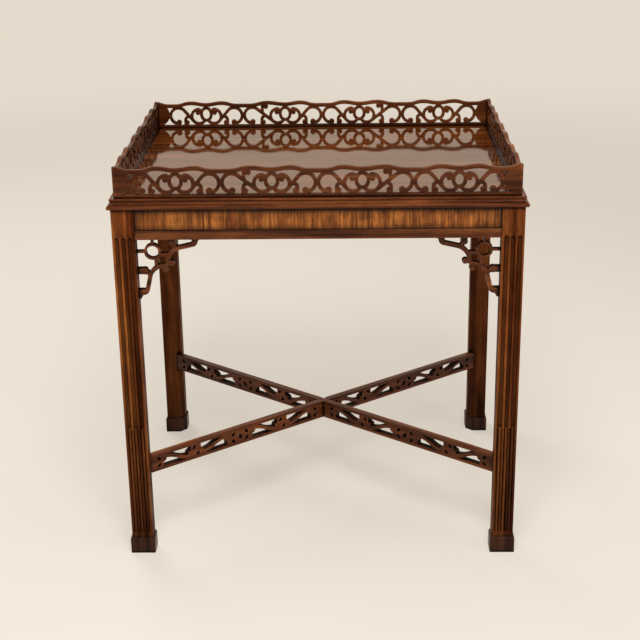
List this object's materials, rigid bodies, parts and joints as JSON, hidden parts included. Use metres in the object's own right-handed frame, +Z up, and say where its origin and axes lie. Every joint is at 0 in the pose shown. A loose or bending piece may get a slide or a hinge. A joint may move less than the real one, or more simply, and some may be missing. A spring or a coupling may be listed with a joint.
{
  "type": "serving table",
  "caption": "Rectangular tray-top serving table with a pierced wavy gallery, fluted square legs on block feet, fret corner brackets and crossed pierced stretchers.",
  "frame": {"origin": "on the floor, under the middle of the table", "axes": "+Z up, +X along the long side to the right, -Y towards the front"},
  "size_m": [0.722, 0.565, 0.744],
  "materials": {
    "mahogany": "polished",
    "fret_mahogany": "polished",
    "figured_veneer": "polished",
    "polished_top": "high gloss",
    "apron_core": "planed",
    "glue_block_wood": "sawn",
    "screw_steel": "dull"
  },
  "bodies": {
    "root": {"apron_back": "apron_core", "apron_front": "apron_core", "apron_left": "apron_core", "apron_right": "apron_core", "apron_strip_back": "mahogany", "apron_strip_front": "mahogany", "apron_strip_left": "mahogany", "apron_strip_right": "mahogany", "apron_veneer_back": "figured_veneer", "apron_veneer_front": "figured_veneer", "apron_veneer_left": "figured_veneer", "apron_veneer_right": "figured_veneer", "bracket_back_left": "fret_mahogany", "bracket_back_right": "fret_mahogany", "bracket_front_left": "fret_mahogany", "bracket_front_right": "fret_mahogany", "bracket_left_left": "fret_mahogany", "bracket_left_right": "fret_mahogany", "bracket_right_left": "fret_mahogany", "bracket_right_right": "fret_mahogany", "foot_back_left": "mahogany", "foot_back_right": "mahogany", "foot_front_left": "mahogany", "foot_front_right": "mahogany", "gallery_back": "fret_mahogany", "gallery_front": "fret_mahogany", "gallery_left": "fret_mahogany", "gallery_right": "fret_mahogany", "glue_block_back_left": "glue_block_wood", "glue_block_back_right": "glue_block_wood", "glue_block_front_left": "glue_block_wood", "glue_block_front_right": "glue_block_wood", "leg_back_left": "mahogany", "leg_back_right": "mahogany", "leg_front_left": "mahogany", "leg_front_right": "mahogany", "stretcher_back_left_front_right": "fret_mahogany", "stretcher_front_left_back_right": "fret_mahogany", "top_board": "polished_top", "top_moulding_back": "mahogany", "top_moulding_front": "mahogany", "top_moulding_left": "mahogany", "top_moulding_right": "mahogany", "top_screws": "screw_steel"}
  },
  "joints": []
}
